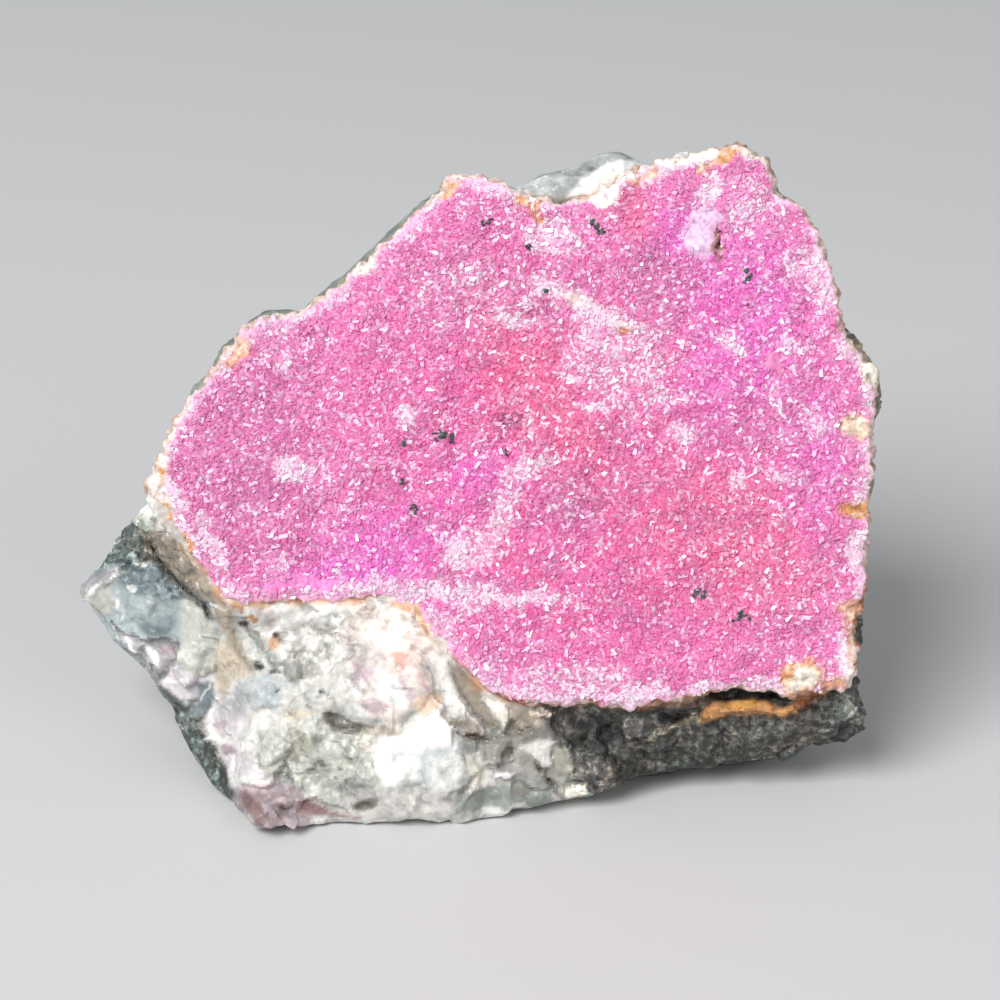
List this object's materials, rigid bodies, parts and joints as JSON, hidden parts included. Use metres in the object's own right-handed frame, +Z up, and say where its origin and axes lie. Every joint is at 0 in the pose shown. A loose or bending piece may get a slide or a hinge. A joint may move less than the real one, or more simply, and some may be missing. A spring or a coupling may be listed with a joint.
{
  "type": "dolomite specimen",
  "caption": "Free-standing mineral specimen: a glittering pink dolomite druse on a broken piece of quartz and grey dolostone that rests on its flat underside.",
  "frame": {"origin": "middle of the specimen's outline seen from above, on the surface that it rests on", "axes": "+X across the druse, to its right; +Y away from the druse, into the rock; +Z up"},
  "size_m": [0.0926, 0.0452, 0.0719],
  "materials": {
    "pink_dolomite": "glittering druse of small glassy rhombs",
    "quartz_and_dolostone": "freshly broken, glassy where it is quartz and dull where it is dolostone"
  },
  "bodies": {
    "root": {"dolomite_druse": "pink_dolomite", "matrix": "quartz_and_dolostone"}
  },
  "joints": []
}
